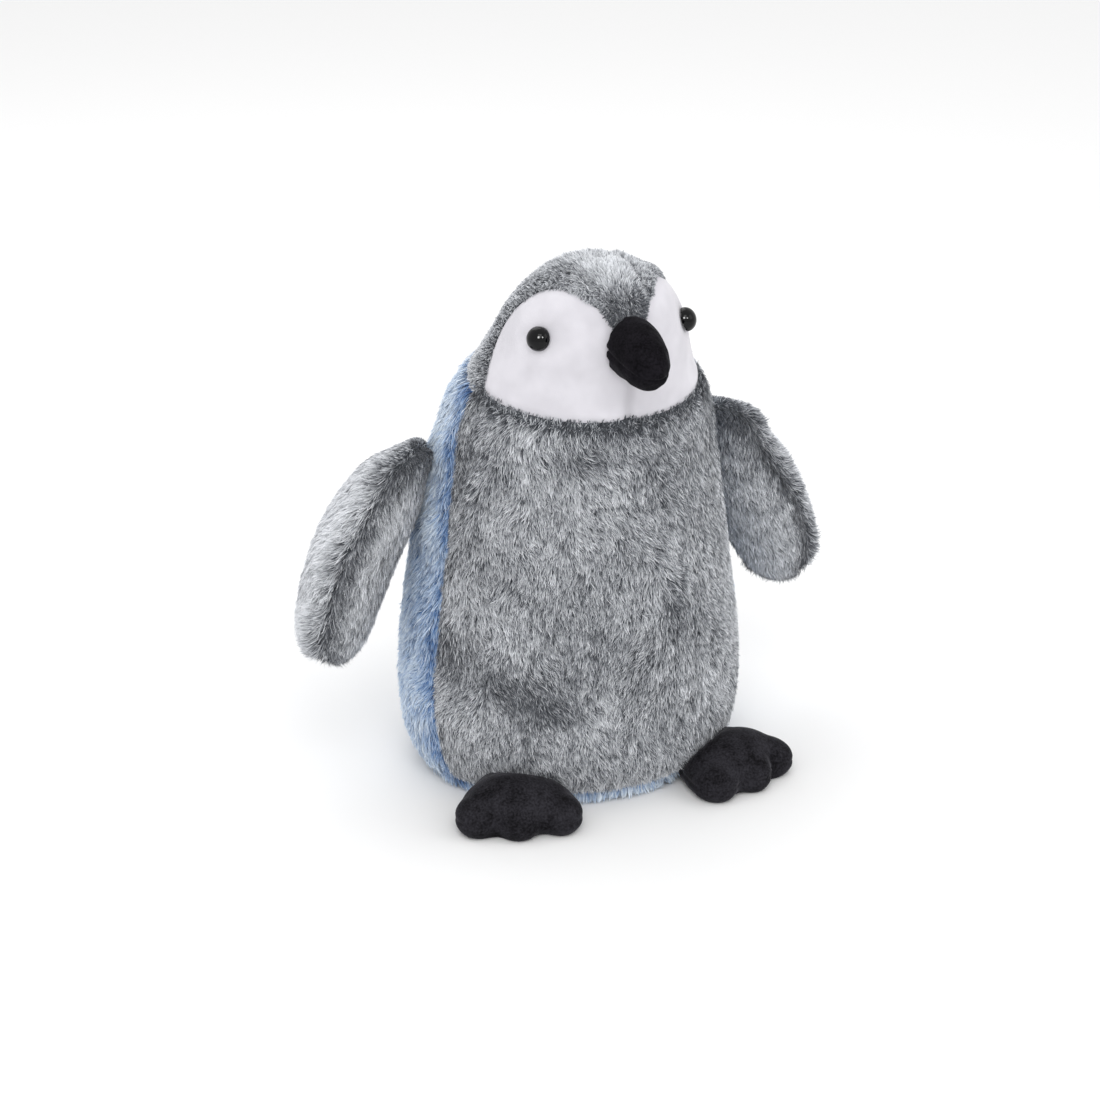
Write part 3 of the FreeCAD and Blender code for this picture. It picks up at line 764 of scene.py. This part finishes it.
CHEEK_TREES = [tree_of(nodes[node].data) for node in CHEEKS]
BEAK_LOW, BEAK_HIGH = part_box("beak_upper")
BEAK_ROOT = np.array([0.0, BEAK_HIGH.y, BEAK_HIGH.z])
BEAK_MIDDLE = middle_of("beak_upper")


def side_seam():
    """Y of the side seam at the floor, and how far it runs back for each metre it climbs."""
    points = mesh_points(nodes["front_panel"].data)
    top = points[points[:, 1].argmax()]
    hem = points[points[:, 2] < points[:, 2].min() + 1 * MM]
    foot_y, foot_z = hem[:, 1].max(), hem[:, 2].min()
    slope = (top[1] - foot_y) / (top[2] - foot_z)
    return foot_y - slope * foot_z, slope


SEAM_FLOOR_Y, SEAM_SLOPE = side_seam()

# Places where the pile is parted and its dark roots show: middle, reach, strength.
PARTINGS = [
    ((-0.026, -0.066, 0.188), (0.017, 0.030, 0.009), 0.40),
    ((-0.060, -0.053, 0.070), (0.016, 0.030, 0.012), 0.38),
    ((-0.040, -0.070, 0.060), (0.015, 0.030, 0.009), 0.38),
    ((-0.076, -0.036, 0.086), (0.010, 0.030, 0.016), 0.30),
    ((0.025, -0.071, 0.106), (0.008, 0.030, 0.018), 0.36),
]

swirl = Waves(3, 0.11)
ruffle = Waves(5, 0.022)
patches = Waves(7, 0.060)
flecks = Waves(11, 0.007)


def partings(points):
    """How strongly each point is parted."""
    total = np.zeros(len(points))
    for middle, reach, strength in PARTINGS:
        total += strength * np.exp(-(((points - middle) / reach) ** 2).sum(1))
    return total


def body_comb(points, normals):
    """Body fur lies downward in slow swirls."""
    down = flattened(np.broadcast_to(-UP, points.shape), normals)
    angle = BODY_SWIRL * swirl(points) + BODY_RUFFLE * ruffle(points)
    angle = angle + PARTING_TURN * partings(points)
    return over_white(turned(unit(down), normals, angle), points)


def head_comb(points, normals):
    """Head fur runs back from the beak, over the crown; some falls over the beak's root."""
    away = unit(points - BEAK_ROOT + 10 * MM * UP)
    angle = HEAD_SWIRL * swirl(points) + HEAD_RUFFLE * ruffle(points)
    directions = turned(unit(flattened(away, normals)), normals, angle)
    beside_beak = nearness(np.linalg.norm(points - BEAK_ROOT, axis=1), BEAK_FRINGE_REACH)
    falls = rng.random(len(points)) < BEAK_FRINGE_SHARE * beside_beak
    directions = np.where(falls[:, None], unit(BEAK_MIDDLE - points), directions)
    return over_white(directions, points)


def nearest_white(points):
    """The nearest spot on the white cheeks for each point, and how far away it is."""
    hits = []
    for point in points:
        found = [tree.find_nearest(Vector(point)) for tree in CHEEK_TREES]
        hits.append(min(found, key=lambda hit: hit[3]))
    return np.array([hit[0] for hit in hits]), np.array([hit[3] for hit in hits])


def beside_white(points, reach):
    """1 on the white cheeks and at their edge, falling to 0 a few millimetres away."""
    return nearness(nearest_white(points)[1], reach)


def over_white(directions, points):
    """Part of the strands beside the white cheeks falls over their edge."""
    spots, gaps = nearest_white(points)
    share = CHEEK_FRINGE_SHARE * nearness(gaps, CHEEK_FRINGE_REACH)
    falls = rng.random(len(points)) < share
    return np.where(falls[:, None], unit(spots - points), directions)


def trimmed(points):
    """The pile is clipped shorter beside the white cheeks."""
    return 1 - CLIPPED_SHARE * beside_white(points, CLIPPED_REACH)


def grey_tone(points):
    """Tone of the grey fur: mottled, dark where it is parted and beside the white cheeks."""
    mottled = GREY_MOTTLE * patches(points) + GREY_FLECKS * flecks(points)
    shaded = CHEEK_SHADE * beside_white(points, CHEEK_SHADE_REACH)
    return GREY_TONE + mottled - partings(points) - shaded


def head_tone(points):
    """Head fur is paler, but dark where it meets the beak."""
    beside_beak = nearness(np.linalg.norm(points - BEAK_ROOT, axis=1), BEAK_SHADE_REACH)
    return grey_tone(points) + HEAD_PALER - BEAK_SHADE * beside_beak


def blue_tone(points):
    """Blue fur, navy where it meets the grey front."""
    seam_y = SEAM_FLOOR_Y + SEAM_SLOPE * points[:, 2]
    beside_seam = nearness(points[:, 1] - seam_y, SIDE_SEAM_REACH)
    mottled = BLUE_MOTTLE * patches(points) + BLUE_FLECKS * flecks(points)
    return BLUE_TONE + mottled - SIDE_SEAM_SHADE * beside_seam


def off_the_floor(points):
    """No fur grows on the flat face that the toy rests on."""
    return smoothstep(0.5 * MM, 2 * MM, points[:, 2]) + 0.001


def on_the_chin(points):
    """Whether each point is where the cheeks meet around and below the beak."""
    across = np.abs(points[:, 0]) < CHIN_HALF_WIDTH
    ahead = points[:, 1] < BEAK_HIGH.y - CHIN_BEHIND_FACE
    above = points[:, 2] > BEAK_LOW.z - CHIN_BELOW_BEAK
    below = points[:, 2] < BEAK_LOW.z + CHIN_ABOVE_BEAK
    return across & ahead & above & below


def body_skin():
    """The skin of body and head with seam creases, cut into its panels."""
    names = BODY_PANELS + HEAD_PANELS + CHEEKS
    skin = skin_over("body_skin", names + ["body_stuffing"], BODY_VOXEL)
    inflate(skin, PRESSURE, BODY_PUFF)
    subdivide(skin)
    labels = panel_labels(skin, names)
    gap = seam_distance(skin, straighten_seams(skin, labels))
    points = mesh_points(skin.data)
    normals = mesh_normals(skin.data)
    inset = SEAM_CREASE * nearness(gap, SEAM_REACH)
    for side in SIDES:
        distance = np.linalg.norm(points - middle_of(f"eye_{side}"), axis=1)
        inset += EYE_SEAT * nearness(distance, EYE_SEAT_REACH)
    fold = CHIN_FOLD * nearness(points[:, 0], CHIN_FOLD_WIDTH)
    inset += np.where(on_the_chin(points), fold, 0)
    height = smoothstep(NECK_HEIGHT, BROW_HEIGHT, points[:, 2])
    pile = PILE_ON_BODY + (PILE_ON_HEAD - PILE_ON_BODY) * height
    inset += (1 - beside_white(points, CLIPPED_REACH)) * pile
    set_points(skin.data, points - normals * inset[:, None])
    return split(skin, labels, names)


def body_coat(node):
    """The fur of one panel of body or head."""
    if node in BLUE_PANELS:
        return Coat(BLUE_PILE, BLUE_FUR, body_comb, blue_tone, weight=off_the_floor)
    if node in HEAD_PANELS:
        return Coat(HEAD_PILE, GREY_FUR, head_comb, head_tone, length_at=trimmed)
    return Coat(BODY_PILE, GREY_FUR, body_comb, grey_tone, length_at=trimmed)


def finish_body(pieces):
    """Materials, fur and bodies for the panels of body and head."""
    grey_backing = backing_material("grey_backing", *GREY_BACKING_TONES)
    blue_backing = backing_material("blue_backing", *BLUE_BACKING_TONES)
    white = white_material()
    for node, skin in pieces.items():
        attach(skin, "body")
        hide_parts(node)
        if node in CHEEKS:
            skin.data.materials.append(white)
            continue
        blue = node in BLUE_PANELS
        skin.data.materials.append(blue_backing if blue else grey_backing)
        fur = grow(f"{node}_fur", skin, STRANDS[node], body_coat(node))
        for layer in fur:
            lift_to_floor(layer)
            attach(layer, "body")


def lift_to_floor(thing):
    """Fur that would reach through the floor is pressed flat on it."""
    points = mesh_points(thing.data)
    points[:, 2] = np.maximum(points[:, 2], 0.3 * MM)
    set_points(thing.data, points)


# ------------------------------------------------------------------ wings

WING_CREASE, WING_CREASE_REACH = 2.4 * MM, 3.0 * MM
WING_STRANDS = 30000

# Distances from the seat along the wing: the blade, the root, and where the tip's tuft grows.
BLADE = (30 * MM, 70 * MM)
ROOT = (0, 36 * MM)
TUCKED = (-2 * MM, 12 * MM)
TUFT = (0.088, 0.108)
SHORT_PILE = (0.0, 0.016)
ROOT_SHADED = (0.004, 0.024)
CORE_ROOT = (4 * MM, 44 * MM)

ROOT_BROADER = 0.55
TUCK_IN, TUCK_DOWN = 7 * MM, 5 * MM
CORE_INSET, CORE_DRAWN_BACK, CORE_THINNER = 0.8 * MM, 22 * MM, 0.45
SEAM_BAND = 1.5 * MM

# The wing's fur: its lie beside the seam, its lengths and its tones.
PART_REACH, PART_STRENGTH = 0.012, 0.9
WING_RUFFLE = 16
TUFT_LONGER, ROOT_PILE = 0.3, 0.45
OUTER_TONE, INNER_TONE = 0.94, 0.54
PART_SHADE, PART_SHADE_REACH = 0.62, 0.0068
ROOT_SHADE = 0.14


def wing_axis(side):
    """A wing's seat and the direction from the seat to its middle."""
    seat = np.array(joints[f"wing_{side}_lift"]["pos_m"])
    return seat, unit(middle_of(f"wing_{side}_stuffing") - seat)


def shaped_wing(points, normals, gap, seat, along):
    """A wing's points with the seam pressed in and the root broadened and tucked into the body."""
    reach = (points - seat) @ along
    points = points - normals * (WING_CREASE * nearness(gap, WING_CREASE_REACH))[:, None]
    offset = points - seat - along * reach[:, None]
    blade = offset[(reach > BLADE[0]) & (reach < BLADE[1])]
    chord = np.linalg.eigh(np.cov(blade.T))[1][:, 2]
    broader = ROOT_BROADER * (1 - smoothstep(*ROOT, reach))
    points = points + chord * (offset @ chord * broader)[:, None]
    tuck = (1 - smoothstep(*TUCKED, reach))[:, None]
    return points - along * tuck * TUCK_IN - UP * tuck * TUCK_DOWN


def wing_coat(seat, along, seam_points, base):
    """The fur of one wing panel: parted along the seam, short at the root, tufted at the tip."""
    seam_tree = KDTree(len(seam_points))
    for number, point in enumerate(seam_points):
        seam_tree.insert(point, number)
    seam_tree.balance()

    def comb(places, facing):
        away = np.array([place - np.array(seam_tree.find(place)[0]) for place in places])
        close = nearness(np.linalg.norm(away, axis=1, keepdims=True), PART_REACH)
        lying = unit(along + PART_STRENGTH * close * unit(away))
        return turned(lying, facing, WING_RUFFLE * ruffle(places))

    def tone(places):
        distance = np.array([seam_tree.find(place)[2] for place in places])
        parted = PART_SHADE * nearness(distance, PART_SHADE_REACH)
        rooted = ROOT_SHADE * (1 - smoothstep(*ROOT_SHADED, (places - seat) @ along))
        mottled = GREY_MOTTLE * patches(places) + GREY_FLECKS * flecks(places)
        return base + mottled - parted - rooted

    def length_at(places):
        reach = (places - seat) @ along
        grown = (1 - ROOT_PILE) * smoothstep(*SHORT_PILE, reach)
        return ROOT_PILE + grown + TUFT_LONGER * smoothstep(*TUFT, reach)

    return Coat(WING_PILE, GREY_FUR, comb, tone, length_at=length_at)


def wing_core(side, seat, along):
    """The wing's stuffing, drawn back from the root so that it stays hidden at every pose."""
    node = f"wing_{side}_stuffing"
    core = skin_over(f"{node}_skin", [node], WING_VOXEL)
    points = mesh_points(core.data) - mesh_normals(core.data) * CORE_INSET
    reach = (points - seat) @ along
    near_root = (1 - smoothstep(*CORE_ROOT, reach))[:, None]
    thinner = (points - seat - along * reach[:, None]) * near_root * CORE_THINNER
    set_points(core.data, points + along * near_root * CORE_DRAWN_BACK - thinner)
    core.data.shade_smooth()
    core.data.materials.append(FIBRE)
    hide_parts(node)
    return core


def wing(side):
    """One wing: its outer and inner panel with their fur, and its stuffing."""
    seat, along = wing_axis(side)
    outer, inner = names = [f"wing_{side}_outer", f"wing_{side}_inner"]
    skin = skin_over(f"wing_{side}_skin", names + [f"wing_{side}_stuffing"], WING_VOXEL)
    inflate(skin, PRESSURE, WING_PUFF)
    subdivide(skin)
    labels = panel_labels(skin, names)
    gap = seam_distance(skin, straighten_seams(skin, labels))
    mesh = skin.data
    points = shaped_wing(mesh_points(mesh), mesh_normals(mesh), gap, seat, along)
    set_points(mesh, points)
    tones = {outer: OUTER_TONE, inner: INNER_TONE}
    backing = backing_material(f"wing_{side}_backing", *GREY_BACKING_TONES)
    for node, piece in split(skin, labels, names).items():
        coat = wing_coat(seat, along, points[gap < SEAM_BAND], tones[node])
        piece.data.materials.append(backing)
        fur = grow(f"{node}_fur", piece, WING_STRANDS, coat)
        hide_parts(node)
        for thing in [piece, *fur]:
            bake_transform(thing)
    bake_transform(wing_core(side, seat, along))


# ------------------------------------------------------------------ beak and feet

MOUTH_CREASE, MOUTH_REACH, BEAK_BUMPS = 0.8 * MM, 1.2 * MM, 0.15 * MM
SOLE_CREASE, SOLE_REACH, FOOT_SWELL = 0.7 * MM, 1.3 * MM, 1.1 * MM
HEEL_LENGTH = 9 * MM
SOLE_HEIGHT = 0.2 * MM


def velvet_skin(name, names, voxel, puff, smoothing):
    """A padded velvet skin over the CAD nodes. Also its panels' labels and seam distances."""
    stuffing = name.replace("_skin", "_stuffing")
    skin = skin_over(name, names + [stuffing], voxel, smoothing)
    inflate(skin, PRESSURE, puff)
    subdivide(skin)
    labels = panel_labels(skin, names)
    return skin, labels, seam_distance(skin, straighten_seams(skin, labels))


def beak():
    """Upper and lower beak with the mouth seam pressed in."""
    names = ["beak_upper", "beak_lower"]
    skin, labels, gap = velvet_skin("beak_skin", names, BEAK_VOXEL, BEAK_PUFF, smoothing=4)
    points = mesh_points(skin.data)
    crease = MOUTH_CREASE * nearness(gap, MOUTH_REACH) + BEAK_BUMPS * flecks(points)
    set_points(skin.data, points - mesh_normals(skin.data) * crease[:, None])
    for node, piece in split(skin, labels, names).items():
        piece.data.materials.append(BEAK_VELVET)
        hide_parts(node)
        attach(piece, "body")


def foot(side):
    """One foot: a padded velvet top and sole, creased at the seam and drawn under the body."""
    names = [f"foot_{side}_top", f"foot_{side}_sole"]
    name = f"foot_{side}_skin"
    skin, labels, gap = velvet_skin(name, names, FOOT_VOXEL, FOOT_PUFF, smoothing=11)
    seat = np.array(joints[f"foot_{side}_lift"]["pos_m"])
    axis = np.array(joints[f"foot_{side}_lift"]["axis"])
    ahead = unit(np.cross(axis, -UP))
    ahead = ahead * np.sign(ahead @ FORWARD)
    points = mesh_points(skin.data)
    heel = 1 - smoothstep(0, HEEL_LENGTH, (points - seat) @ ahead)
    crease = SOLE_CREASE * nearness(gap, SOLE_REACH) - FOOT_SWELL
    points = points - mesh_normals(skin.data) * crease[:, None]
    points = points - ahead * (heel * HEEL_LENGTH)[:, None]
    points[:, 2] = np.maximum(points[:, 2], SOLE_HEIGHT)
    set_points(skin.data, points)
    for node, piece in split(skin, labels, names).items():
        piece.data.materials.append(FOOT_VELVET)
        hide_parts(node)
        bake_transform(piece)


# ------------------------------------------------------------------ eyes and hidden pieces


def finish_hard_pieces():
    """Eyes, washers, bag, pellets and stuffing keep their CAD shape."""
    gloss = gloss_material()
    washer = plain_material("washer_plastic", srgb(215, 213, 205), srgb(230, 229, 222), 300, 0.5)
    cloth = plain_material("bag_cloth", srgb(198, 196, 188), srgb(219, 217, 210), 500, 0.9)
    beads = plain_material("pellets", srgb(205, 205, 205), srgb(238, 238, 238), 380, 0.4)
    finishes = {"eye_washer": washer, "eye_": gloss, "pellet_bag": cloth, "pellet_fill": beads}
    for node, thing in nodes.items():
        if thing.hide_render:
            continue
        found = [made for start, made in finishes.items() if node.startswith(start)]
        thing.data.materials.clear()
        thing.data.materials.append(found[0] if found else FIBRE)
        thing.data.shade_smooth()


# ------------------------------------------------------------------ stage

# Place in metres, size in metres, watts, and whether it also lights matt surfaces: the last two
# are small lights that only glint in the eyes.
LIGHTS = (
    ((-0.5, -1.1, 1.3), 0.9, 8.0, True),
    ((1.0, -0.9, 0.9), 0.8, 2.0, True),
    ((0.0, 0.9, 1.3), 1.0, 4.0, True),
    ((-0.75, -1.0, 0.95), 0.36, 15.0, False),
    ((0.10, -1.35, 0.95), 0.26, 8.0, False),
)
LIT_SPOT = Vector((0, 0, 0.14))
SKY_STRENGTH = 0.95

CAMERA_TARGET = Vector((0, 0, 0.136))
CAMERA_DISTANCE = 1.372
CAMERA_AZIMUTH = math.radians(-24)
CAMERA_ELEVATION = math.radians(21)


def floor():
    """A plain pale floor."""
    bpy.ops.mesh.primitive_plane_add(size=60, location=(0, 0, 0))
    plane = bpy.context.object
    made = Nodes("floor")
    made.set(Base_Color=(0.93, 0.93, 0.93, 1), Roughness=0.9, Specular_IOR_Level=0.1)
    plane.data.materials.append(made.material)


def studio_light():
    """A white surround and the softboxes."""
    scene = bpy.context.scene
    world = bpy.data.worlds.new("studio")
    world.use_nodes = True
    sky = world.node_tree.nodes["Background"]
    sky.inputs["Color"].default_value = (1, 1, 1, 1)
    sky.inputs["Strength"].default_value = SKY_STRENGTH
    scene.world = world
    for place, size, power, lights_matt in LIGHTS:
        light = bpy.data.lights.new("softbox", "AREA")
        light.size = size
        light.energy = power
        lamp = bpy.data.objects.new("softbox", light)
        lamp.location = place
        lamp.visible_diffuse = lights_matt
        lamp.rotation_euler = (LIT_SPOT - Vector(place)).to_track_quat("-Z", "Y").to_euler()
        scene.collection.objects.link(lamp)


def camera():
    """The camera, in front of the toy, to its right and above it."""
    scene = bpy.context.scene
    lens = bpy.data.cameras.new("camera")
    lens.lens = 87.6
    lens.sensor_width = 36
    lens.shift_x = -0.018
    lens.shift_y = -0.041
    level = math.cos(CAMERA_ELEVATION)
    back = Vector((
        math.sin(CAMERA_AZIMUTH) * level,
        -math.cos(CAMERA_AZIMUTH) * level,
        math.sin(CAMERA_ELEVATION),
    ))
    viewer = bpy.data.objects.new("camera", lens)
    viewer.location = CAMERA_TARGET + back * CAMERA_DISTANCE
    viewer.rotation_euler = (-back).to_track_quat("-Z", "Y").to_euler()
    scene.collection.objects.link(viewer)
    scene.camera = viewer
    scene.view_settings.view_transform = "Standard"


finish_body(body_skin())
for side in SIDES:
    wing(side)
beak()
for side in SIDES:
    foot(side)
finish_hard_pieces()
floor()
studio_light()
camera()
